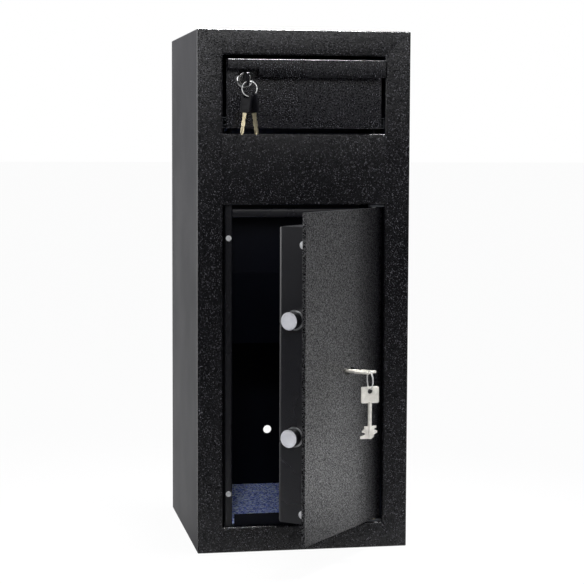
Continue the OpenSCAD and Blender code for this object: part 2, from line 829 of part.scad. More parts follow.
// Brackets that guide the bolts behind the cover's side
guide_x0 = cover_x0 + cover_t + 1;
guide_wall = 6;
module bolt_guides() {
    color(zinc) on_door() for (z = bolt_zs) difference() {
        along_x(guide_x0, guide_x0 + 10) translate([door_in, z]) {
            translate([0, -bolt_r - guide_wall]) square([bolt_y - door_in, 2 * (bolt_r + guide_wall)]);
            translate([bolt_y - door_in, 0]) circle(bolt_r + guide_wall);
        }
        rod_x(guide_x0 - 1, guide_x0 + 11, bolt_y, z, bolt_r + fit);
    }
}

// Bolt work

module locking_bolts() {
    chamfer = 2;
    color([0.85, 0.86, 0.87]) on_door() for (z = bolt_zs)
        translate([bolt_tip_x, bolt_y, z]) rotate([0, 90, 0]) rotate_extrude()
            polygon([[0, 0], [bolt_r - chamfer, 0], [bolt_r, chamfer], [bolt_r, bolt_len],
                [0, bolt_len]]);
}

module bolt_bar() {
    half = bolt_half + bolt_r;
    color(zinc) on_door() {
        box(bolt_end_x, bolt_end_x + tongue_t, bolt_y - 10, bolt_y + 10, door_mid - half,
            door_mid + half);
        box(bolt_end_x + tongue_t - 1, tongue_x1, bolt_y - tongue_t / 2, bolt_y + tongue_t / 2,
            key_z - tongue_half, key_z + tongue_half);
    }
}

module bolt_nuts() {
    color(zinc) on_door() for (z = bolt_zs)
        translate([bolt_end_x + tongue_t, bolt_y, z]) rotate([0, 90, 0]) cylinder(h = 6, r = 8, $fn = 6);
}

// Door key, hanging along -Z from its ring hole at the origin, flat in the XZ plane

// Outline of the two-winged bit, x across and y down from its top, as cut on both wings
bit_end = bit_l - 0.2;
bit_left = [[-9.3, 1], [-9.3, 5], [-13.2, 8.6], [-13.2, 10.6], [-7.7, 12.4], [-7.7, 14],
    [-10.5, 15.6], [-15.9, 16.8], [-15.9, bit_end]];
bit_right = [[3.3, bit_end], [7.1, 17.5], [7.1, 14.5], [12.6, 11.5], [12.6, 8.6], [7.7, 6.8],
    [7.7, 5], [11, 3.6], [11, 0.8]];
module door_key_shape() {
    bow_t = 2.2;
    rim_t = 3;
    rim = 2.6;
    corner = 2.5;
    mid = bow_hole_in - bow_l / 2;
    end = bow_hole_in - bow_l;
    difference() {
        union() {
            along_y(-rim_t / 2, rim_t / 2) translate([0, mid]) rounded_rect(bow_w, bow_l, corner);
            translate([0, 0, end - shank_l - bit_l]) cylinder(h = shank_l + bit_l + 2, r = shank_r);
            along_y(-1.2, 1.2) translate([0, end - shank_l]) mirror([0, 1])
                polygon(concat([[0, 1]], bit_left, bit_right, [[0, 0.8]]));
        }
        for (s = [-1, 1]) translate([0, s * (bow_t / 2 + rim_t / 2) , 0])
            along_y(-rim_t / 2, rim_t / 2) difference() {
                translate([0, mid]) rounded_rect(bow_w - 2 * rim, bow_l - 2 * rim, corner - 1);
                circle(bow_hole_r + 1.4);
            }
        rod_y(-rim_t, rim_t, 0, 0, bow_hole_r);
    }
}

// Distance from the outer face of the door to the ring hole of the key
hole_out = key_out + bow_l - bow_hole_in;
module door_key() {
    color(nickel) on_door() translate([key_x, door_recess - hole_out, key_z]) rotate([90, 0, 0])
        door_key_shape();
}

// Drum that the bit turns
module lock_drum() {
    color([0.8, 0.66, 0.35]) on_door() difference() {
        rod_y(drum_y0, drum_y1, key_x, key_z, drum_r);
        keyhole(drum_y0 - 1, drum_y1 - 1);
        rod_y(drum_y0 - 1, drum_y1 - 1, key_x, key_z, bit_l - 4.5);
    }
}

// The ring hangs from the end of the bow, a little outside the hole
door_hole = door_point(key_x, door_recess - hole_out);
ring_shift = 7.3;
door_ring_at = [door_hole[0] + ring_shift * sin(door_ring_turn),
    door_hole[1] - ring_shift * cos(door_ring_turn), key_z - 11.8];
module door_key_ring() {
    color(zinc) front() translate(door_ring_at) rotate([0, 0, door_ring_turn]) rotate([150, 0, 0])
        split_ring(door_ring_r, door_ring_wire);
}

spare_at = door_ring_at - [0, 0, door_ring_r + bow_hole_r - door_ring_wire / 2 - 2 * seat];
module spare_door_key() {
    color(nickel) front() translate(spare_at) rotate([0, 0, door_ring_turn]) door_key_shape();
}

// Drawer pieces

module drawer_front() {
    color(black) front() difference() {
        along_x(-panel_w / 2, panel_w / 2)
            folded([[panel_y, panel_z1], [panel_y, panel_z0],
                [panel_y + panel_flange, panel_z0]], panel_t, 2.2);
        both_sides() box(side_x - 1, panel_w / 2 + 1, panel_in, panel_y + panel_flange + 1,
            panel_z0 - 1, panel_z0 + panel_t + 1);
        rod_y(panel_y - 1, panel_in + 1, -lock_x, lock_z, barrel_r + seat / 2);
    }
}

// Folded pull along the whole top edge: top flange, drop lip and hem, notched at the lock
module drawer_pull() {
    hem_y = -pull_out + 2 * panel_t + 1.6;
    corner = 4;
    color(black) front() difference() {
        along_x(-pull_w / 2, pull_w / 2) folded([[panel_in, pull_z1], [-pull_out, pull_z1],
            [-pull_out, pull_z0], [hem_y, pull_z0], [hem_y, pull_z0 + 8]], panel_t, panel_t + 0.6);
        box(-pull_w / 2 - 1, -pull_w / 2 + notch_w, -pull_out - 1, hem_y + 1, pull_z0 - 1,
            pull_z0 + notch_h);
        translate([pull_w / 2, -pull_out - 1, pull_z0]) mirror([1, 0, 0])
            along_y(0, hem_y + pull_out + 2) edge_waste(corner);
    }
}

// Sides and back wall folded from one sheet, with tabs behind the drawer front
module drawer_body() {
    x = side_x;
    y = panel_in;
    top = side_z1 + drawer_back_up;
    color([0.25, 0.25, 0.27]) front() difference() {
        along_z(side_z0, top) folded([[-x + 11.5, y], [-x, y], [-x, drawer_y1],
            [x, drawer_y1], [x, y], [x - 11.5, y]], -drawer_t);
        along_x(-x - 1, x + 1) polygon([[y - 1, side_z1], [drawer_y1 - 46, side_z1],
            [drawer_y1 - 9, top], [drawer_y1 - 9, top + 1], [y - 1, top + 1]]);
        box(-x - 1, x + 1, drawer_y1 - 5, drawer_y1 + 1, side_z0 - 1, floor_top + 2);
        box(-x - 1, -x + drawer_t + 1, cam_y0 - 0.8, cam_y0 + cam_t + 0.8,
            lock_z - cam_reach * 0.85, lock_z + cam_w / 2 + 2);
        rod_x(-x - 1, x + 1, floor_y, floor_z, pin_r + fit);
    }
}

// Shelf that closes the drawer in front of the tipping floor
module drawer_ledge() {
    z = floor_top - floor_t - seat - drawer_t;
    tab = 15;
    lap = 6;
    x = floor_x - 1.5 * drawer_t;
    color([0.25, 0.25, 0.27]) front() along_x(-x, x) folded([[panel_in, z + tab], [panel_in, z],
        [floor_y - floor_front + lap, z]], drawer_t, drawer_t + 0.5);
}

moving_l = drawer_l - 2;
moving_h = runner_h - 2 * runner_t - 4 * ball_r - 0.2;
moving_z0 = runner_z0 + (runner_h - moving_h) / 2;
module moving_runners() {
    z1 = moving_z0 + moving_h;
    color(zinc) front() both_sides() along_y(panel_in + 1, panel_in + 1 + moving_l)
        folded([[side_x + 7, z1], [side_x, z1], [side_x, moving_z0], [side_x + 7, moving_z0]],
            runner_t, 1.5);
}

module runner_rivets() {
    span = moving_l - 2 * rivet_in;
    color(zinc) front() both_sides() for (y = [0, span / 2, span])
        translate([side_x - drawer_t, panel_in + 1 + rivet_in + y, moving_z0 + moving_h / 2])
            rotate([0, -90, 0]) rotate_extrude() intersection() {
                translate([0, -2.4]) circle(3.6);
                square([3, 1.2]);
            }
}

pin_r = 3;
module floor_pivot_pins() {
    color(zinc) front() both_sides() {
        rod_x(floor_x - ear_t - 2, side_x + 0.1, floor_y, floor_z, pin_r);
        translate([side_x, floor_y, floor_z]) rotate([0, 90, 0]) cylinder(h = 2, r = pin_r + 2);
    }
}

// Chrome bezel and threaded barrel of the drawer lock
module drawer_lock_barrel() {
    color([0.85, 0.86, 0.87]) front() translate([-lock_x, panel_y, lock_z]) rotate([-90, 0, 0])
        rotate_extrude() difference() {
            union() {
                polygon([[0, -bezel_out], [bezel_r - 4.2, -bezel_out], [bezel_r - 1.2, -2.2],
                    [bezel_r, -1.2], [bezel_r, 0], [0, 0]]);
                translate([0, -0.1]) square([barrel_r, barrel_l + 0.1]);
            }
            translate([-1, -bezel_out - 1]) square([plug_r + fit + 1, barrel_l + bezel_out + 2]);
            polygon([[0, -bezel_out - 0.1], [bezel_r - 5.2, -bezel_out - 0.1],
                [plug_r + 1, -bezel_out + 2], [0, -bezel_out + 2]]);
        }
}

module drawer_lock_nut() {
    color(zinc) front() translate([-lock_x, panel_in, lock_z]) rotate([-90, 0, 0]) difference() {
        cylinder(h = 4, r = barrel_r + 3.6, $fn = 6);
        translate([0, 0, -1]) cylinder(h = 6, r = barrel_r + fit);
    }
}

// Balls held between the runners by thin cages that move at half the drawer's speed
cage_t = 0.6;
module runner_ball_cages() {
    x = side_x + 6;
    web = open_w / 2 - runner_t - seat;
    z0 = runner_z0 + runner_t + ball_r + 0.05;
    z1 = runner_z0 + runner_h - runner_t - ball_r - 0.05;
    y0 = runner_y0 + travel / 2 + 1;
    y1 = y0 + ball_pitch * (ball_n - 1) + 6;
    ball_ys = [for (i = [0:ball_n - 1]) y0 + 3 + i * ball_pitch];
    color(zinc) front() both_sides() {
        difference() {
            along_y(y0, y1) folded([[x - 2.2, z1 + cage_t / 2], [web, z1 + cage_t / 2],
                [web, z0 - cage_t / 2], [x - 2.2, z0 - cage_t / 2]], -cage_t, 1);
            for (y = ball_ys) translate([x, y, z0 - 2]) cylinder(h = z1 - z0 + 4, r = ball_r + fit);
        }
        for (y = ball_ys, z = [z0, z1]) translate([x, y, z]) sphere(ball_r, $fn = 24);
    }
}

// Floor that tips as the drawer shuts, drawn level and turned about its pivot
module on_floor() {
    front() translate([0, floor_y, floor_z]) rotate([-tip_max, 0, 0]) children();
}

module tipping_floor() {
    ear_r = 8;
    low = -floor_drop - floor_t;
    color([0.55, 0.56, 0.58]) on_floor() {
        box(-floor_x, floor_x, -floor_front, floor_rear, low, -floor_drop);
        both_sides() difference() {
            along_x(floor_x - ear_t, floor_x) {
                translate([-floor_front, low]) square([floor_front + floor_rear, floor_t + 10]);
                polygon([[-22, low], [22, low], [22, low + floor_t + 10], [ear_r * 0.8, ear_r * 0.6],
                    [-ear_r * 0.8, ear_r * 0.6], [-22, low + floor_t + 10]]);
                circle(ear_r);
            }
            rod_x(floor_x - ear_t - 1, floor_x + 1, 0, 0, pin_r + fit);
        }
    }
}

module floor_followers() {
    color([0.9, 0.9, 0.86]) on_floor() both_sides()
        rod_x(floor_x, follower_x1, follower_in, -follower_h, follower_r);
}

// Drawer lock: plug, cam, screw and key turn together

module drawer_lock_plug() {
    color([0.8, 0.8, 0.78]) front() difference() {
        rod_y(bezel_y + 1.2, cam_y0, -lock_x, lock_z, plug_r);
        box(-lock_x - blade_t / 2 - 0.25, -lock_x + blade_t / 2 + 0.25, bezel_y, head_y + blade_l + 0.3,
            lock_z - blade_w / 2 - 0.25, lock_z + blade_w / 2 + 0.25);
    }
}

module drawer_lock_cam() {
    corner = 3;
    color(zinc) front() along_y(cam_y0, cam_y0 + cam_t) translate([-lock_x, lock_z]) difference() {
        union() {
            circle(cam_w / 2);
            translate([-cam_w / 2, -cam_reach + corner]) square([cam_w, cam_reach - corner]);
            translate([-cam_w / 2 + corner, -cam_reach]) square([cam_w - 2 * corner, cam_reach]);
            for (x = [-1, 1])
                translate([x * (cam_w / 2 - corner), -cam_reach + corner]) circle(corner);
        }
        circle(screw_hole_r);
    }
}

module cam_screw() {
    color(zinc) front() translate([-lock_x, cam_y0 + cam_t, lock_z]) rotate([0, 0, 180])
        pan_screw(4, 2.4, cam_t);
}

// Key blade, hanging along -Z below its head; the slot of the head is at the origin
module key_blade() {
    top = slot_in - head_l;
    tip = top - blade_l;
    half = blade_w / 2;
    cuts = 5;
    pitch = (blade_l - 6) / cuts;
    function depth(i) = 0.7 + 0.45 * sin(i * 140);
    edge = [for (i = [0:cuts - 1]) let (z = top - 2.5 - i * pitch)
        each [[half, z], [half - depth(i), z - pitch * 0.35], [half - depth(i), z - pitch * 0.65]]];
    difference() {
        along_y(-blade_t / 2, blade_t / 2) polygon(concat([[half, top]], edge,
            [[half, tip + 3.4], [1.6, tip], [-1.6, tip], [-half, tip + 3.4]],
            [for (i = [len(edge) - 1:-1:0]) [-edge[i][0], edge[i][1]]], [[-half, top]]));
        for (s = [-1, 1]) box(-0.9, 0.9, s * blade_t / 2 - 0.5, s * blade_t / 2 + 0.5, tip - 1,
            top - 1);
    }
}

module key_head() {
    corner = 4;
    difference() {
        along_y(-head_t / 2, head_t / 2) translate([0, slot_in - head_l / 2])
            rounded_rect(head_w, head_l, corner);
        along_y(-head_t, head_t) rounded_rect(slot_w, slot_h, 1.2);
        for (s = [-1, 1]) translate([0, s * head_t / 2, 0])
            along_y(-0.5, 0.5) translate([0, slot_in - head_l + 8]) rounded_rect(head_w - 8, 9, 2);
    }
}

module inserted() {
    front() translate([-lock_x, key_hole_y, lock_z]) rotate([0, 90, -90]) children();
}

module hanging(side) {
    x = drawer_ring_x + side * (drawer_ring_r - 0.2) * sin(hang_angle);
    z = drawer_ring_z - (drawer_ring_r - 0.2) * cos(hang_angle) - slot_h / 2 + wire_room;
    front() translate([x, key_hole_y, z]) rotate([0, -side * hang_lean, 0])
        rotate([0, 0, -hang_turn]) children();
}

module drawer_key_blade() {
    color(nickel) inserted() key_blade();
}

module drawer_key_head() {
    color([0.06, 0.06, 0.07]) inserted() key_head();
}

module drawer_key_ring() {
    color(zinc) front() translate([drawer_ring_x, key_hole_y, drawer_ring_z]) rotate([0, 0, 90])
        rotate([250, 0, 0]) split_ring(drawer_ring_r, drawer_ring_wire);
}

module hanging_blade_a() {
    color([0.8, 0.72, 0.5]) hanging(-1) key_blade();
}

module hanging_head_a() {
    color([0.06, 0.06, 0.07]) hanging(-1) key_head();
}

module hanging_blade_b() {
    color([0.8, 0.72, 0.5]) hanging(1) key_blade();
}

module hanging_head_b() {
    color([0.06, 0.06, 0.07]) hanging(1) key_head();
}

body_shell();
back_panel();
front_plate();
floor_pan();
floor_mat();
strike_post();
hinge_post();
head_stop();
threshold_bar();
stop_screws();
hinge_brackets();
hinge_washer();
bay_sides();
chute_plate();
fixed_runners();
cam_ramps();
door_plate();
bolt_cover();
cover_brackets();
cover_screws();
hinge_lugs();
hinge_pins();
lock_case();
lock_case_screws();
bolt_guides();
locking_bolts();
bolt_bar();
bolt_nuts();
door_key();
lock_drum();
door_key_ring();
spare_door_key();
drawer_front();
drawer_pull();
drawer_body();
drawer_ledge();
moving_runners();
runner_rivets();
floor_pivot_pins();
drawer_lock_barrel();
drawer_lock_nut();
runner_ball_cages();
tipping_floor();
floor_followers();
drawer_lock_plug();
drawer_lock_cam();
cam_screw();
drawer_key_blade();
drawer_key_head();
drawer_key_ring();
hanging_blade_a();
hanging_head_a();
hanging_blade_b();
hanging_head_b();
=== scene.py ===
# %% [markdown]
# # A drop safe with a deposit drawer
# The safe stands on the floor with its lower door half open. The CAD part is
# loaded as a fixed frame. This script adds the camera, the light, the finishes
# and the pieces whose look needs more than flat CAD faces.

# %% Load the frame
import json
import math

import bpy
from mathutils import Matrix, Vector


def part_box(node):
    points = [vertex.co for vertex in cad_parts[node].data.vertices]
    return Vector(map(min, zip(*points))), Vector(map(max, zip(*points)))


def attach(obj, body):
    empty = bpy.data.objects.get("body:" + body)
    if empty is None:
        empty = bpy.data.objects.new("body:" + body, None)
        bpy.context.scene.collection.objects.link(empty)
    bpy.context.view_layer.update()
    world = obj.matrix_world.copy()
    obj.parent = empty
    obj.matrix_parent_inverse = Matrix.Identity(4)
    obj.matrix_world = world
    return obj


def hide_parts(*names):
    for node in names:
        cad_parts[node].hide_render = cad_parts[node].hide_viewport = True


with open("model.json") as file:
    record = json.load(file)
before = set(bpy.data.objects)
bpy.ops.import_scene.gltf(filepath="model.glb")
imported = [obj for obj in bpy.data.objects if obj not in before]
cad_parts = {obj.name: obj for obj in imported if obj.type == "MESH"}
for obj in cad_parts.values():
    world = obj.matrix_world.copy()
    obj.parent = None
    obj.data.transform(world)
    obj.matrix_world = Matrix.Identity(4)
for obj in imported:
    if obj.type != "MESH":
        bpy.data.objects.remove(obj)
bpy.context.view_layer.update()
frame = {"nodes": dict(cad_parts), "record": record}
nodes = frame["nodes"]
MM = 0.001
bodies = frame["record"]["behaviour"]["bodies"]
body_of = {node: body for body, members in bodies.items() for node in members}

# %% [markdown]
# ## Camera
# The lens and the stand point were solved from the cabinet's eight corners in
# the photograph. The camera is low and far away, a little to the left, so the
# verticals nearly stay parallel. The angle is a rotation vector in degrees.

# %% Camera
IMAGE_SIZE = 584
FOCAL_PX = 1732
SENSOR_MM = 36
EYE = Vector((-0.5259, -2.9408, 0.6731))
TURN_DEG = Vector((5.010, -0.2326, 10.366))

turn = Matrix.Rotation(math.radians(TURN_DEG.length), 3, TURN_DEG.normalized())
right, ahead, up = (turn.transposed() @ Vector(v) for v in ((1, 0, 0), (0, 1, 0), (0, 0, 1)))
camera_data = bpy.data.cameras.new("camera")
camera_data.sensor_width = SENSOR_MM
camera_data.lens = FOCAL_PX / IMAGE_SIZE * SENSOR_MM
camera = bpy.data.objects.new("camera", camera_data)
bpy.context.scene.collection.objects.link(camera)
facing = Matrix((right, up, -ahead)).transposed().to_4x4()
camera.matrix_world = Matrix.Translation(EYE) @ facing
bpy.context.scene.camera = camera
print("lens", round(camera_data.lens, 2))

# %% [markdown]
# ## Node helpers
# The floor and the world need arithmetic on coordinates and on the kind of ray.
# Two helpers add such nodes, so that the trees below read as short formulas. An
# input may be a number or the output of an earlier node.


# %% Node helpers
MAP_SOCKETS = ("From Min", "From Max", "To Min", "To Max")


def empty_tree(owner):
    """The node tree of a material or world, with the nodes that it starts with removed."""
    owner.use_nodes = True
    owner.node_tree.nodes.clear()
    return owner.node_tree


def maths(tree, operation, *values):
    """One Math node, fed by numbers and by outputs of other nodes."""
    made = tree.nodes.new("ShaderNodeMath")
    made.operation = operation
    for socket, value in zip(made.inputs, values):
        if isinstance(value, (int, float)):
            socket.default_value = value
        else:
            tree.links.new(value, socket)
    return made.outputs[0]


def mapped(tree, source, span, way="LINEAR"):
    """One Map Range node; span is from min, from max, to min and to max."""
    made = tree.nodes.new("ShaderNodeMapRange")
    made.interpolation_type = way
    for key, value in zip(MAP_SOCKETS, span):
        made.inputs[key].default_value = value
    tree.links.new(source, made.inputs["Value"])
    return made.outputs["Result"]


def axes_of(tree, output):
    """The X, Y and Z of one of the Texture Coordinate node's outputs."""
    coordinates = tree.nodes.new("ShaderNodeTexCoord")
    parts = tree.nodes.new("ShaderNodeSeparateXYZ")
    tree.links.new(coordinates.outputs[output], parts.inputs[0])
    return parts.outputs


print("node helpers ready")

# %% [markdown]
# ## Floor
# White paper serves as floor and background. A part of it glows: for the camera
# at a strength of 1, which is white, and for shiny surfaces as a pool of light
# that lies behind the object and on its right, and fades towards the camera. The
# small rest is plain diffuse paper, which keeps the object's shadow.

# %% Floor
FLOOR_SIZE, FLOOR_Y = 60, 20
bpy.ops.mesh.primitive_plane_add(size=FLOOR_SIZE, location=(0, FLOOR_Y, 0))
floor = bpy.context.object
floor.name = "floor"
print("floor", FLOOR_SIZE, "m square")

# %% [markdown]
# The pool is a product of four ramps in metres on the floor. One fades it
# towards the camera, and one far out on the right. The third makes it glare on
# the right, where the door mirrors it, and the fourth dims what lies there in
# front of the cabinet. The door is then lit mostly from behind the front's
# plane, which the cabinet hides from its hinge side, so it darkens to the hinge.

# %% The pool of light on the paper
SLANT = 0.5
DEPTH_SPAN = (-2.4 - FLOOR_Y, 0.1 - FLOOR_Y, 0, 1)
DEPTH_STEPS = ((0, 0.02), (0.35, 0.10), (0.65, 0.30), (0.85, 0.38), (1, 1))
FAR_RIGHT_SPAN = (0.9, 2.0, 1.0, 0.42)
GLARE_SPAN = (0.15, 0.60, 1.0, 2.6)
BEHIND_SPAN = (-0.55 - FLOOR_Y, 0.0 - FLOOR_Y, 0.35, 1.0)

paper = bpy.data.materials.new("paper")
tree = empty_tree(paper)
x, y, _ = axes_of(tree, "Object")
depth = mapped(tree, maths(tree, "MULTIPLY_ADD", x, SLANT, y), DEPTH_SPAN)
fall = tree.nodes.new("ShaderNodeValToRGB")
stops = fall.color_ramp.elements
while len(stops) < len(DEPTH_STEPS):
    stops.new(0.5)
for stop, (at, level) in zip(stops, DEPTH_STEPS):
    stop.position = at
    stop.color = (level, level, level, 1)
tree.links.new(depth, fall.inputs[0])
far_right = mapped(tree, x, FAR_RIGHT_SPAN, "SMOOTHSTEP")
glare = mapped(tree, x, GLARE_SPAN)
behind = mapped(tree, maths(tree, "MULTIPLY_ADD", x, -SLANT, y), BEHIND_SPAN)
sides = maths(tree, "MULTIPLY", maths(tree, "MULTIPLY", far_right, glare), behind)
pool = maths(tree, "MULTIPLY", fall.outputs[0], sides)
print("pool nodes", len(tree.nodes))

# %% Paper
GLOW_SHARE = 0.96
rays = tree.nodes.new("ShaderNodeLightPath").outputs
camera_ray, glossy_ray = rays["Is Camera Ray"], rays["Is Glossy Ray"]
matt = tree.nodes.new("ShaderNodeBsdfDiffuse")
matt.inputs["Color"].default_value = (0.80, 0.80, 0.82, 1)
glow = tree.nodes.new("ShaderNodeEmission")
glow.inputs["Color"].default_value = (1, 1, 1, 1)
level = maths(tree, "MAXIMUM", camera_ray, maths(tree, "MULTIPLY", glossy_ray, pool))
tree.links.new(level, glow.inputs["Strength"])
share = maths(tree, "MULTIPLY", maths(tree, "MAXIMUM", camera_ray, glossy_ray), GLOW_SHARE)
mix = tree.nodes.new("ShaderNodeMixShader")
for source, socket in zip((share, matt.outputs[0], glow.outputs[0]), mix.inputs):
    tree.links.new(source, socket)
tree.links.new(mix.outputs[0], tree.nodes.new("ShaderNodeOutputMaterial").inputs["Surface"])
floor.data.materials.append(paper)
print("paper nodes", len(tree.nodes))

# %% [markdown]
# ## Room
# A studio is white behind the object and dark behind the camera. Black gloss
# shows that at once: the front, which faces the camera, mirrors the dark half
# and stays black, while the turned door mirrors the edge of the white half and
# looks grey. The world is white to the camera, passes from dark to white along
# +Y for shiny surfaces, and is a soft even grey for the rest of the shading.

# %% World
HALVES_SPAN = (0.27, 0.75, 0.02, 1.0)

world = bpy.data.worlds.new("room")
bpy.context.scene.world = world
tree = empty_tree(world)


def background(colour, strength):
    made = tree.nodes.new("ShaderNodeBackground")
    made.inputs["Color"].default_value = (*colour, 1)
    made.inputs["Strength"].default_value = strength
    return made


def mixed(share, first, second):
    made = tree.nodes.new("ShaderNodeMixShader")
    for source, socket in zip((share, first, second), made.inputs):
        tree.links.new(source, socket)
    return made.outputs[0]


rays = tree.nodes.new("ShaderNodeLightPath").outputs
soft_grey = background((0.90, 0.93, 1.0), 0.30)
two_halves = background((0.96, 0.96, 1.0), 1)
plain_white = background((1, 1, 1), 1)
halves = mapped(tree, axes_of(tree, "Generated")["Y"], HALVES_SPAN, "SMOOTHSTEP")
tree.links.new(halves, two_halves.inputs["Strength"])
gloss_or_glass = maths(tree, "MAXIMUM", rays["Is Glossy Ray"], rays["Is Transmission Ray"])
lit = mixed(gloss_or_glass, soft_grey.outputs[0], two_halves.outputs[0])
seen = mixed(rays["Is Camera Ray"], lit, plain_white.outputs[0])
tree.links.new(seen, tree.nodes.new("ShaderNodeOutputWorld").inputs["Surface"])
print("world nodes", len(tree.nodes))

# %% [markdown]
# ## Lamps
# The key lamp and two lamps on the right light the shapes and reach the mat, and
# aren't mirrored, so they leave no spots on the gloss. A wide window behind the
# camera leaves the sheen on the top of the front. The left lamp lights the grey
# side, the rim lamp the lock's rim, and the top lamp the pull's bright line.

# %% Lamps
def soft_lamp(name, at, target, width, height, watts, beam=180, mirrored=True):
    """A rectangular lamp that faces a point; beam is its spread in degrees."""
    lamp = bpy.data.lights.new(name, "AREA")
    lamp.shape = "RECTANGLE"
    lamp.size, lamp.size_y = width, height
    lamp.energy = watts
    lamp.spread = math.radians(beam)
    body = bpy.data.objects.new(name, lamp)
    body.visible_glossy = mirrored
    bpy.context.scene.collection.objects.link(body)
    body.location = at
    body.rotation_euler = (Vector(target) - Vector(at)).to_track_quat("-Z", "Y").to_euler()
    return body


MIDDLE = (0, 0, 0.42)
UPPER = (0, 0, 0.6)
LOCK = (-0.13, -0.2, 0.76)
PULL = (0.02, -0.2, 0.76)
soft_lamp("key_lamp", (-0.55, -2.6, 2.1), MIDDLE, 0.5, 0.5, 28, mirrored=False)
soft_lamp("window", (0.40, -3.1, 1.5), UPPER, 1.4, 0.7, 7)
soft_lamp("right_lamp", (1.3, -2.4, 1.3), MIDDLE, 0.35, 0.35, 8, mirrored=False)
soft_lamp("side_lamp", (2.2, -1.3, 1.0), MIDDLE, 0.8, 0.8, 6, mirrored=False)
soft_lamp("left_lamp", (-2.4, 0.6, 0.75), UPPER, 1.6, 1.0, 14)
soft_lamp("rim_lamp", (-0.92, -0.75, 0.92), LOCK, 0.8, 0.6, 2.2)
soft_lamp("top_lamp", (0.15, -0.10, 2.3), PULL, 0.9, 0.12, 10, beam=50)
scene = bpy.context.scene
scene.view_settings.view_transform = "Standard"

# %% [markdown]
# ## Finishes
# Each finish is one small node tree on Object coordinates. A helper makes the
# shader and the nodes, so that a finish reads as a short list of layers.


# %% Finish helper
class Finish:
    """One material: its shader and short calls for the nodes that feed it."""

    def __init__(self, name, colour, rough, metal=0.0):
        self.material = bpy.data.materials.new(name)
        self.material.use_nodes = True
        self.tree = self.material.node_tree
        self.shader = next(n for n in self.tree.nodes if n.type == "BSDF_PRINCIPLED")
        self.set("Base Color", (*colour, 1))
        self.set("Roughness", rough)
        self.set("Metallic", metal)
        self.coords = self.tree.nodes.new("ShaderNodeTexCoord")
        self.height = None

    def set(self, socket, value):
        self.shader.inputs[socket].default_value = value

    def node(self, kind, **values):
        made = self.tree.nodes.new(kind)
        for key, value in values.items():
            setattr(made, key, value)
        return made

    def link(self, source, target):
        self.tree.links.new(source, target)

    def place(self, stretch=(1, 1, 1)):
        """Object coordinates, stretched along the row axes."""
        mapping = self.node("ShaderNodeMapping")
        mapping.inputs["Scale"].default_value = stretch
        self.link(self.coords.outputs["Object"], mapping.inputs["Vector"])
        return mapping.outputs["Vector"]

    def noise(self, scale, detail=2.0, rough=0.5, stretch=(1, 1, 1)):
        made = self.node("ShaderNodeTexNoise")
        made.inputs["Scale"].default_value = scale
        made.inputs["Detail"].default_value = detail
        made.inputs["Roughness"].default_value = rough
        self.link(self.place(stretch), made.inputs["Vector"])
        return made.outputs["Fac"]

    def cells(self, scale, feature="F1", smooth=0.5):
        made = self.node("ShaderNodeTexVoronoi", feature=feature)
        made.inputs["Scale"].default_value = scale
        if feature == "SMOOTH_F1":
            made.inputs["Smoothness"].default_value = smooth
        self.link(self.place(), made.inputs["Vector"])
        return made

    def steps(self, source, stops):
        """A colour ramp: stops are (place, colour) pairs."""
        ramp = self.node("ShaderNodeValToRGB")
        elements = ramp.color_ramp.elements
        while len(elements) < len(stops):
            elements.new(0.5)
        for element, (at, colour) in zip(elements, stops):
            element.position = at
            element.color = (*colour, 1)
        self.link(source, ramp.inputs["Fac"])
        return ramp.outputs["Color"]

    def span(self, source, low, high, to_low, to_high):
        """Maps a range of one value to another range."""
        return mapped(self.tree, source, (low, high, to_low, to_high))

    def either(self, first, second):
        """The greater of two values at each point."""
        return maths(self.tree, "MAXIMUM", first, second)

    def blend(self, share, first, second):
        """Mixes two colours by a share from 0 to 1."""
        made = self.node("ShaderNodeMix", data_type="RGBA")
        self.link(share, made.inputs["Factor"])
        for source, target in ((first, made.inputs[6]), (second, made.inputs[7])):
            if isinstance(source, tuple):
                target.default_value = (*source, 1)
            else:
                self.link(source, target)
        return made.outputs[2]

    def bump(self, source, depth, strength=1.0):
        """Adds one layer of relief; depth is in metres."""
        made = self.node("ShaderNodeBump")
        made.inputs["Strength"].default_value = strength
        made.inputs["Distance"].default_value = depth
        self.link(source, made.inputs["Height"])
        if self.height is not None:
            self.link(self.height, made.inputs["Normal"])
        self.height = made.outputs["Normal"]
        self.link(self.height, self.shader.inputs["Normal"])

    def colour(self, source):
        self.link(source, self.shader.inputs["Base Color"])

    def roughness(self, source):
        self.link(source, self.shader.inputs["Roughness"])


def grey(value):
    return (value, value, value)


print("finish helper ready")

# %% [markdown]
# ### Powder coat
# The front, the door and the drawer have a near-black hammered powder coat. Its
# skin is a field of small domes about two millimetres apart. Its pigment holds
# metal flakes: the peaks of a fine noise turn metallic, so they spark where a
# light is mirrored and vanish elsewhere, just as the real ones do. A second noise
# at the domes' spacing paints shade into the hollows: there the coat becomes a dark
# metal, which mirrors less. The door's coat has the deepest painted shade. The
# drawer's coat is a lit copy: its flakes and its base are painted brighter, to make
# up for the shade of the pull above it. The cover and posts have no flakes, and the
# cabinet's wrap has a finer, flatter skin that reads as grey.


# %% Powder coats
DOME, FINE_DOME, INNER_DOME = 0.0021, 0.0012, 0.0014
FLAKE_APART, FLAKE_ROUGH = 0.0016, 0.48
SPARKS = ((0.54, 0.0), (0.64, 0.03), (0.70, 0.25), (0.78, 1.0))
SHADE_PIT_AT = (0.36, 0.49, 0.60)
FLAKE_TINT = (1, 0.98, 1.10)
BLUISH = (1, 1, 1.3)


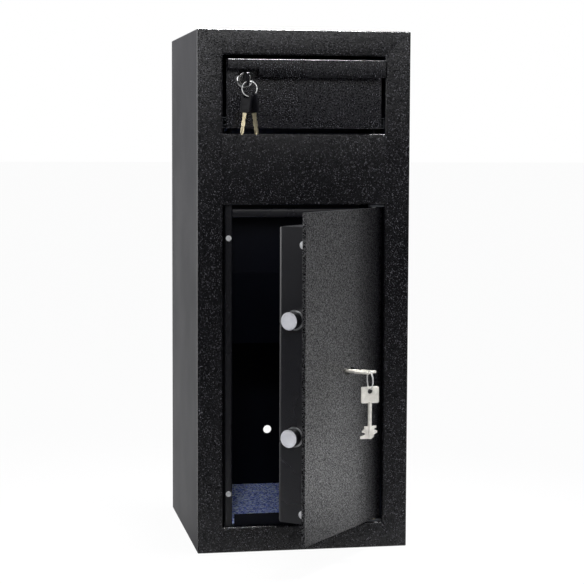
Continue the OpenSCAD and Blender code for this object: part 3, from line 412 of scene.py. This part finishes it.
def powder_coat(name, dark, dome, depth, rough, gloss, flake=0.0, tint=BLUISH,
                pit_shade=(0.85, 0.25, 0.0)):
    """dome is their spacing and depth their relief in metres; flake is the flakes' tone."""
    made = Finish(name, grey(dark), rough)
    made.set("Specular IOR Level", gloss)
    domes = made.cells(1 / dome, "SMOOTH_F1", 0.6).outputs["Distance"]
    grain = made.noise(1 / (dome * 0.5), 3, 0.6)
    patches = made.noise(9, 3)
    made.bump(domes, depth)
    low = tuple(dark * 0.7 * t for t in tint)
    high = tuple(dark * 1.3 * t for t in tint)
    coat = made.steps(grain, [(0.35, low), (0.62, high)])
    skin = made.span(patches, 0.3, 0.7, rough - 0.03, rough + 0.03)
    if flake:
        peaks = made.noise(1 / FLAKE_APART, 1)
        spots = made.steps(peaks, [(at, grey(level)) for at, level in SPARKS])
        coat = made.blend(spots, coat, tuple(flake * t for t in FLAKE_TINT))
        # Painted shade in the hollows: there the coat is a dark metal that mirrors less.
        shaded_hollows = made.noise(1 / DOME, 1)
        painted_pit_shade = made.steps(shaded_hollows, [(at, grey(level)) for at, level in zip(SHADE_PIT_AT, pit_shade)])
        made.link(made.either(spots, painted_pit_shade), made.shader.inputs["Metallic"])
        skin = made.either(skin, made.span(spots, 0.0, 0.3, rough, FLAKE_ROUGH))
    made.roughness(skin)
    made.colour(coat)
    return made


# %% The object's powder coats
hammered = powder_coat("hammered_coat", 0.0042, DOME, 0.00008, rough=0.24, gloss=0.90, flake=0.32)
# A lit copy of the coat: flakes and base painted brighter for the pull's shade.
painted_light_drawer_coat = powder_coat("painted_light_drawer_coat", 0.0055, DOME, 0.00008, rough=0.27, gloss=0.95, flake=0.95)
pull_coat = powder_coat("pull_coat", 0.0042, DOME, 0.00006, rough=0.26, gloss=0.36, flake=0.32)
door_coat = powder_coat("door_coat", 0.0042, DOME, 0.00008, rough=0.34, gloss=1.0, flake=0.5,
                        pit_shade=(1.0, 0.65, 0.0))
door_coat.set("IOR", 1.75)
plain_black = powder_coat("plain_black_coat", 0.0066, DOME, 0.00008, rough=0.28, gloss=0.72)
wrap_coat = powder_coat("wrap_coat", 0.014, FINE_DOME, 0.00005, rough=0.55, gloss=0.20)
# The inside's paint is dark. Its blue tint is painted: the cast of the shade inside.
inner_coat = powder_coat("inner_coat", 0.004, INNER_DOME, 0.00006, rough=0.45, gloss=0.10,
                         tint=(0.80, 0.92, 1.6))
print("powder coats", [m.name for m in bpy.data.materials if m.name.endswith("coat")])

# %% [markdown]
# ### Plated metal
# Screws and lock parts are zinc plated: a pale grey metal with cloudy patches and
# fine scratches. The runners and the hinge brackets get a darker, duller zinc. The
# door's keys are nickel plated and worn, the flat keys are brass, and the lock's rim
# and the bolts' sides are chromed. A plate that scatters much light is given a metal
# share well under 1, because a studio's dark half would turn a full metal black.


# %% Plated metals
CLOUDS_PER_M, SCRATCHES_PER_M = 60, 900
UPRIGHT, CROSSWISE = (1, 1, 0.05), (0.05, 1, 1)


def plated(name, dark, light, rough_low, rough_high, scratch=0.00002, stretch=UPRIGHT,
           metal=1.0):
    """A cloudy plate with scratches along one axis; scratch is their depth in metres."""
    made = Finish(name, light, rough_high, metal)
    clouds = made.noise(CLOUDS_PER_M, 4, 0.6)
    lines = made.noise(SCRATCHES_PER_M, 2, 0.5, stretch)
    made.colour(made.steps(clouds, [(0.3, dark), (0.7, light)]))
    made.roughness(made.span(clouds, 0.3, 0.7, rough_low, rough_high))
    made.bump(lines, scratch)
    return made


# %% The object's metals
zinc = plated("zinc_plate", (0.50, 0.51, 0.52), (0.72, 0.72, 0.72), 0.28, 0.40, metal=0.45)
dull_zinc = plated("dull_zinc", (0.16, 0.17, 0.19), (0.24, 0.25, 0.27), 0.45, 0.60)
nickel = plated("worn_nickel", (0.58, 0.56, 0.50), (0.90, 0.87, 0.80), 0.30, 0.46, metal=0.3)
chrome = plated("chrome_plate", (0.78, 0.79, 0.80), (0.88, 0.88, 0.89), 0.08, 0.16, 0.000006)
satin = plated("satin_steel", (0.56, 0.56, 0.59), (0.66, 0.66, 0.69), 0.34, 0.44, 0.00001,
               metal=0.35)
ring_plate = plated("ring_plate", (0.80, 0.80, 0.78), (0.95, 0.95, 0.94), 0.16, 0.26,
                    metal=0.45)
brass = plated("blade_brass", (0.62, 0.54, 0.36), (0.82, 0.74, 0.52), 0.24, 0.38)
steel_sheet = plated("rolled_sheet", (0.42, 0.43, 0.44), (0.56, 0.57, 0.58), 0.34, 0.46,
                     0.00003, CROSSWISE)
print("materials so far", len(bpy.data.materials))

# %% [markdown]
# ### Plastic and felt
# Key heads are satin black plastic with a fine spark-eroded grain, and the
# tipping floor's followers are pale nylon.

# %% Plastic
plastic = Finish("key_head_plastic", (0.0045, 0.0045, 0.006), 0.4)
plastic.set("Specular IOR Level", 0.16)
plastic.bump(plastic.noise(2600, 2), 0.00003)
plastic.roughness(plastic.span(plastic.noise(140, 3), 0.3, 0.7, 0.32, 0.5))
nylon = Finish("nylon", (0.75, 0.74, 0.70), 0.45)
nylon.bump(nylon.noise(1500, 2), 0.00003)
nylon.roughness(nylon.span(nylon.noise(200, 3), 0.3, 0.7, 0.38, 0.5))
print("plastics", plastic.material.name, nylon.material.name)

# %% [markdown]
# ### Felt
# The mat is needled felt of mixed fibres, from navy to pale blue, in tufts a few
# millimetres wide. A Voronoi pattern gives each tuft its own tone, and a fine
# noise raises the fibres. Felt has hardly any gloss, only a faint sheen.

# %% Felt
TUFT = 0.0026
NAVY, BLUE, PALE = (0.04, 0.07, 0.42), (0.26, 0.36, 1.0), (0.78, 0.90, 1.0)

felt = Finish("felt", (0.28, 0.34, 0.78), 0.95)
felt.bump(felt.noise(700, 6, 0.75), 0.0012)
tufts = felt.cells(1 / TUFT).outputs["Color"]
felt.colour(felt.steps(tufts, [(0.25, NAVY), (0.50, BLUE), (0.75, PALE)]))
felt.set("Sheen Weight", 0.05)
felt.set("Sheen Roughness", 0.5)
print("felt tufts", round(TUFT / MM, 1), "mm")

# %% [markdown]
# ### Dressing the CAD nodes
# Every CAD node gets its finish, also the ones that a piece replaces later and
# the ones inside, which show once the door or the drawer is open.


# %% Give every CAD node its finish
def dress(finish, *names):
    for name in names:
        piece = nodes[name]
        piece.data.materials.clear()
        piece.data.materials.append(finish.material)


dress(hammered, "front_plate")
dress(door_coat, "door_plate")
dress(painted_light_drawer_coat, "drawer_front")
dress(pull_coat, "drawer_pull")
dress(plain_black, "bolt_cover", "strike_post", "head_stop")
dress(wrap_coat, "body_shell")
dress(inner_coat, "back_panel", "floor_pan", "hinge_post", "threshold_bar", "bay_sides",
      "chute_plate", "hinge_lugs", "drawer_body", "drawer_ledge", "cam_ramps")
dress(dull_zinc, "hinge_brackets", "fixed_runners", "moving_runners", "runner_ball_cages",
      "runner_rivets")
dress(zinc, "stop_screws", "cover_brackets", "cover_screws", "hinge_pins", "lock_case",
      "lock_case_screws", "bolt_guides", "bolt_bar", "bolt_nuts", "floor_pivot_pins",
      "drawer_lock_nut", "drawer_lock_cam", "cam_screw")
dress(steel_sheet, "tipping_floor")
dress(chrome, "drawer_lock_barrel", "drawer_lock_plug")
dress(ring_plate, "drawer_key_ring", "door_key_ring")
dress(satin, "locking_bolts")
dress(nickel, "door_key", "spare_door_key", "drawer_key_blade")
dress(brass, "hinge_washer", "lock_drum", "hanging_blade_a", "hanging_blade_b")
dress(plastic, "drawer_key_head", "hanging_head_a", "hanging_head_b")
dress(nylon, "floor_followers")
dress(felt, "floor_mat")
print("nodes dressed", sum(len(piece.data.materials) for piece in nodes.values()))

# %% [markdown]
# ## Softened sheet metal
# Bent and coated steel has no knife edges: the coat gathers into a small round
# on every edge, and that round is the thin bright line that draws the shape.
# Each such CAD node is copied, its loose triangles are merged back into whole
# faces, and a bevel rounds whatever is sharper than 30 degrees.


# %% A softened copy of a node
def stand_in(piece, finish, *names):
    """The piece takes the place and the body of the CAD nodes that it stands for."""
    piece.data.materials.clear()
    piece.data.materials.append(finish.material)
    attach(piece, body_of[names[0]])
    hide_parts(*names)


def merged_copy(name, new_name):
    """A copy of a CAD node with its triangles merged back into whole faces."""
    bpy.ops.object.select_all(action="DESELECT")
    nodes[name].select_set(True)
    bpy.context.view_layer.objects.active = nodes[name]
    bpy.ops.object.duplicate()
    piece = bpy.context.object
    piece.name = new_name
    bpy.ops.object.mode_set(mode="EDIT")
    bpy.ops.mesh.select_all(action="SELECT")
    bpy.ops.mesh.remove_doubles(threshold=0.01 * MM)
    bpy.ops.mesh.dissolve_limited(angle_limit=math.radians(0.5))
    bpy.ops.object.mode_set(mode="OBJECT")
    if piece.data.has_custom_normals:
        bpy.ops.mesh.customdata_custom_splitnormals_clear()
    return piece


def select_only(piece):
    bpy.ops.object.select_all(action="DESELECT")
    piece.select_set(True)


def unselect_mesh(piece):
    """Nothing of the mesh stays selected, so that faces can be picked in code."""
    for part in (*piece.data.polygons, *piece.data.edges, *piece.data.vertices):
        part.select = False


def extent_mm(points):
    """The size of a set of points along each axis."""
    rows = list(zip(*points))
    return [round((max(row) - min(row)) / MM, 2) for row in rows]


def round_edges(piece, width, segments=2, sharper_than=30):
    """Bevels the edges that are sharper than the angle and keeps the flats flat."""
    select_only(piece)
    bpy.ops.object.shade_smooth_by_angle(angle=math.radians(sharper_than))
    bevel = piece.modifiers.new("round", "BEVEL")
    bevel.width = width
    bevel.segments = segments
    bevel.limit_method = "ANGLE"
    bevel.angle_limit = math.radians(sharper_than)
    bevel.harden_normals = True
    bpy.context.view_layer.objects.active = piece
    bpy.ops.object.modifier_apply(modifier="round")


# %% Softened pieces, each with its finish and the width of its round in mm
SOFT_EDGES = {
    "front_plate": (hammered, 0.6), "door_plate": (door_coat, 0.7),
    "bolt_cover": (plain_black, 0.6), "drawer_front": (painted_light_drawer_coat, 0.5),
    "drawer_pull": (pull_coat, 0.6), "strike_post": (plain_black, 0.5),
    "head_stop": (plain_black, 0.5), "threshold_bar": (inner_coat, 0.5),
    "hinge_brackets": (dull_zinc, 0.4), "hinge_lugs": (inner_coat, 0.4),
    "door_key": (nickel, 0.25), "spare_door_key": (nickel, 0.25),
    "drawer_key_head": (plastic, 0.5), "hanging_head_a": (plastic, 0.5),
    "hanging_head_b": (plastic, 0.5), "drawer_key_blade": (nickel, 0.15),
    "stop_screws": (zinc, 0.15), "cover_screws": (zinc, 0.15),
}
for name, (finish, width) in SOFT_EDGES.items():
    piece = merged_copy(name, "soft_" + name)
    round_edges(piece, width * MM)
    stand_in(piece, finish, name)
    print(piece.name, len(piece.data.polygons), "faces")

# %% [markdown]
# ## Back panel
# The outside of the back has the cabinet's grey coat, and its inside the thin
# dark one. The copy keeps both finishes and sorts its faces by their direction.

# %% Back panel
back = merged_copy("back_panel", "coated_back")
stand_in(back, inner_coat, "back_panel")
back.data.materials.append(wrap_coat.material)
for face in back.data.polygons:
    face.material_index = int(face.normal.y > 0.5)
print("outer faces of the back", sum(face.material_index for face in back.data.polygons))

# %% [markdown]
# ## Key blades
# A flat key has a milled groove along both sides, which catches the dark while
# its rims stay bright. The copy's two broad faces are inset and sunk by a third
# of a millimetre, and the edges are rounded after that.


# %% Key blades
BLADE_RIM, BLADE_SINK, BLADE_ROUND = 1.5 * MM, 0.35 * MM, 0.12 * MM


def milled_blade(name):
    blade = merged_copy(name, "milled_" + name)
    broad = max(blade.data.polygons, key=lambda face: face.area)
    across, least = broad.normal.copy(), broad.area * 0.5
    unselect_mesh(blade)
    for face in blade.data.polygons:
        face.select = abs(face.normal.dot(across)) > 0.98 and face.area > least
    print(name, "broad faces", sum(face.select for face in blade.data.polygons))
    bpy.ops.object.mode_set(mode="EDIT")
    bpy.context.tool_settings.mesh_select_mode = (False, False, True)
    bpy.ops.mesh.inset(thickness=BLADE_RIM, depth=-BLADE_SINK)
    bpy.ops.object.mode_set(mode="OBJECT")
    round_edges(blade, BLADE_ROUND, segments=1, sharper_than=50)
    stand_in(blade, brass, name)


milled_blade("hanging_blade_a")
milled_blade("hanging_blade_b")

# %% [markdown]
# ## Lock rim
# The cylinder lock's rim is a rounded chrome ring, like half a doughnut, on a
# threaded barrel. A ring of points is extruded along that outline and scaled at
# every step, and its last ring is bridged to the first to close the wall.

# %% Lock rim
LOCK_OUTLINE = [  # radius, and distance behind the face that it seats on, in mm
    (6.8, 26.9), (9.0, 26.9), (9.0, 0.0), (14.5, 0.0), (14.75, -0.7), (14.55, -1.9),
    (13.9, -3.2), (12.9, -4.5), (11.7, -5.5), (10.4, -6.0), (9.2, -5.9), (8.2, -5.1),
    (7.6, -4.0), (7.2, -2.8), (6.8, -2.4),
]
RIM_PROUD = 6 * MM
QUARTER_TURN = (math.radians(90), 0, 0)

lock_low, lock_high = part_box("drawer_lock_barrel")
lock_axis = Vector(((lock_low[0] + lock_high[0]) / 2, lock_low[1] + RIM_PROUD,
                    (lock_low[2] + lock_high[2]) / 2))
first_radius, first_along = LOCK_OUTLINE[0]
bpy.ops.object.select_all(action="DESELECT")
bpy.ops.mesh.primitive_circle_add(vertices=72, radius=first_radius * MM, rotation=QUARTER_TURN,
                                  location=(0, first_along * MM, 0))
rim = bpy.context.object
rim.name = "lock_rim"
bpy.ops.object.transform_apply(location=True, rotation=True, scale=True)
bpy.ops.object.mode_set(mode="EDIT")
bpy.context.tool_settings.mesh_select_mode = (False, True, False)
bpy.ops.mesh.select_all(action="SELECT")
for (radius, along), (next_radius, next_along) in zip(LOCK_OUTLINE, LOCK_OUTLINE[1:]):
    move = (0, (next_along - along) * MM, 0)
    bpy.ops.mesh.extrude_edges_move(TRANSFORM_OT_translate={"value": move})
    share = next_radius / radius
    bpy.ops.transform.resize(value=(share, 1, share), center_override=(0, 0, 0))
bpy.ops.mesh.select_all(action="DESELECT")
bpy.ops.mesh.select_non_manifold(extend=False)
bpy.ops.mesh.bridge_edge_loops()
bpy.ops.mesh.select_all(action="SELECT")
bpy.ops.mesh.normals_make_consistent(inside=False)
bpy.ops.object.mode_set(mode="OBJECT")
rim.data.transform(Matrix.Translation(lock_axis))
bpy.ops.object.shade_smooth_by_angle(angle=math.radians(35))
stand_in(rim, chrome, "drawer_lock_barrel")
print("lock rim", extent_mm([v.co for v in rim.data.vertices]),
      "cad", extent_mm([lock_low, lock_high]))

# %% [markdown]
# ## Turned bolts
# The locking bolts are turned from bar: a flat satin face inside a thin raised
# rim, and a chamfer that throws a bright ring. The copy's tip faces are inset
# twice, and the inner disc is pushed in by a fraction of a millimetre. The round
# side is polished and mirrors the dark steel beside it.

# %% Turned bolts
DOOR_REST = math.radians(50.5)
BOLT_WAY = Vector((-math.cos(DOOR_REST), -math.sin(DOOR_REST), 0))
TIP_RIM, TIP_STEP, TIP_SINK = 1.3 * MM, 0.3 * MM, 0.25 * MM

bolts = merged_copy("locking_bolts", "turned_bolts")
unselect_mesh(bolts)
for face in bolts.data.polygons:
    face.select = face.normal.dot(BOLT_WAY) > 0.99
bpy.context.view_layer.objects.active = bolts
bpy.ops.object.mode_set(mode="EDIT")
bpy.context.tool_settings.mesh_select_mode = (False, False, True)
bpy.ops.mesh.inset(thickness=TIP_RIM, depth=0)
bpy.ops.mesh.inset(thickness=TIP_STEP, depth=-TIP_SINK)
bpy.ops.object.mode_set(mode="OBJECT")
select_only(bolts)
bpy.ops.object.shade_smooth_by_angle(angle=math.radians(28))
stand_in(bolts, satin, "locking_bolts")
bolts.data.materials.append(chrome.material)
for face in bolts.data.polygons:
    face.material_index = int(face.normal.dot(BOLT_WAY) < 0.3)
print("bolt faces", len(bolts.data.polygons))

# %% [markdown]
# ## Split rings
# A split ring is one round wire wound nearly twice. A small circle is the wire's
# section; the Screw modifier winds it about the ring's axis while it creeps
# along that axis, and the two open ends are closed.


# %% Split rings
TURNS, STEPS_A_TURN, WIRE_SIDES = 1.85, 110, 14


def split_ring(name, node, middle, wire, gap, start_deg, turn_deg):
    """middle is the wire's radius about the ring's axis; sizes in mm, gap between turns."""
    creep = (wire + gap) * TURNS * MM
    low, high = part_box(node)
    centre = (Vector(low) + Vector(high)) / 2
    bpy.ops.object.select_all(action="DESELECT")
    bpy.ops.mesh.primitive_circle_add(vertices=WIRE_SIDES, radius=wire / 2 * MM,
                                      location=(0, 0, middle * MM), rotation=QUARTER_TURN)
    ring = bpy.context.object
    ring.name = name
    bpy.ops.object.transform_apply(location=True, rotation=True, scale=True)
    wind = ring.modifiers.new("wind", "SCREW")
    wind.axis = "X"
    wind.angle = -math.radians(360 * TURNS)
    wind.screw_offset = creep
    wind.steps = wind.render_steps = STEPS_A_TURN
    bpy.ops.object.modifier_apply(modifier="wind")
    bpy.ops.object.mode_set(mode="EDIT")
    bpy.ops.mesh.select_all(action="SELECT")
    bpy.ops.mesh.remove_doubles(threshold=0.001 * MM)
    bpy.ops.mesh.select_all(action="DESELECT")
    bpy.context.tool_settings.mesh_select_mode = (False, True, False)
    bpy.ops.mesh.select_non_manifold(extend=False)
    bpy.ops.mesh.fill_holes(sides=0)
    bpy.ops.mesh.select_all(action="SELECT")
    bpy.ops.mesh.normals_make_consistent(inside=False)
    bpy.ops.object.mode_set(mode="OBJECT")
    ring.data.transform(Matrix.Translation((-creep / 2, 0, 0)))
    start = Matrix.Rotation(math.radians(start_deg), 4, "X")
    ring.data.transform(Matrix.Rotation(math.radians(turn_deg), 4, "Z") @ start)
    points = [Vector(v.co) for v in ring.data.vertices]
    mid = Vector([(min(p[i] for p in points) + max(p[i] for p in points)) / 2 for i in range(3)])
    ring.data.transform(Matrix.Translation(centre - mid))
    select_only(ring)
    bpy.ops.object.shade_smooth_by_angle(angle=math.radians(60))
    stand_in(ring, ring_plate, node)
    print(name, "box", extent_mm(points), "cad", extent_mm([low, high]))


split_ring("door_split_ring", "door_key_ring", middle=14.4, wire=1.0, gap=0.2,
           start_deg=150, turn_deg=7)
split_ring("drawer_split_ring", "drawer_key_ring", middle=12, wire=1.4, gap=0.45,
           start_deg=250, turn_deg=90)

# %% [markdown]
# ## Felt mat
# The mat is one cut of needled felt with a tongue that reaches forward between
# the posts. A grid is cut to that outline, raised a little by a slow noise so
# that it lies as cloth does, and given its thickness.

# %% Felt mat
PAN_TOP = 40 * MM
TONGUE_X = (-113.4 * MM, 130.5 * MM)
BODY_Y = -126 * MM
CUTS = (((TONGUE_X[0], 0, 0), (1, 0, 0)), ((TONGUE_X[1], 0, 0), (1, 0, 0)),
        ((0, BODY_Y, 0), (0, 1, 0)))

mat_low, mat_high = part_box("floor_mat")
width, length = mat_high[0] - mat_low[0], mat_high[1] - mat_low[1]
mat_middle = ((mat_low[0] + mat_high[0]) / 2, (mat_low[1] + mat_high[1]) / 2, PAN_TOP)
bpy.ops.object.select_all(action="DESELECT")
bpy.ops.mesh.primitive_grid_add(x_subdivisions=68, y_subdivisions=66, size=1,
                                location=mat_middle)
mat = bpy.context.object
mat.name = "felt_mat"
mat.scale = (width, length, 1)
bpy.ops.object.transform_apply(location=True, rotation=True, scale=True)
bpy.ops.object.mode_set(mode="EDIT")
for point, normal in CUTS:
    bpy.ops.mesh.select_all(action="SELECT")
    bpy.ops.mesh.bisect(plane_co=point, plane_no=normal)
bpy.ops.mesh.select_all(action="DESELECT")
bpy.ops.object.mode_set(mode="OBJECT")
for face in mat.data.polygons:
    beside = face.center.x < TONGUE_X[0] or face.center.x > TONGUE_X[1]
    face.select = beside and face.center.y < BODY_Y
bpy.ops.object.mode_set(mode="EDIT")
bpy.context.tool_settings.mesh_select_mode = (False, False, True)
bpy.ops.mesh.delete(type="FACE")
bpy.ops.object.mode_set(mode="OBJECT")

# %% Felt mat's surface
WAVE, WAVE_HEIGHT, FELT_THICK = 0.05, 0.5 * MM, 1.3 * MM

slow = bpy.data.textures.new("slow_noise", "CLOUDS")
slow.noise_scale = WAVE
slow.noise_depth = 2
shake = mat.modifiers.new("shake", "DISPLACE")
shake.texture = slow
shake.texture_coords = "LOCAL"
shake.strength = WAVE_HEIGHT
shake.mid_level = 0
bpy.ops.object.modifier_apply(modifier="shake")
thicken = mat.modifiers.new("thicken", "SOLIDIFY")
thicken.thickness = FELT_THICK
thicken.offset = 1
bpy.ops.object.modifier_apply(modifier="thicken")
select_only(mat)
bpy.ops.object.shade_smooth_by_angle(angle=math.radians(40))
stand_in(mat, felt, "floor_mat")
print("mat z", [round(f(v.co.z for v in mat.data.vertices) / MM, 2) for f in (min, max)])
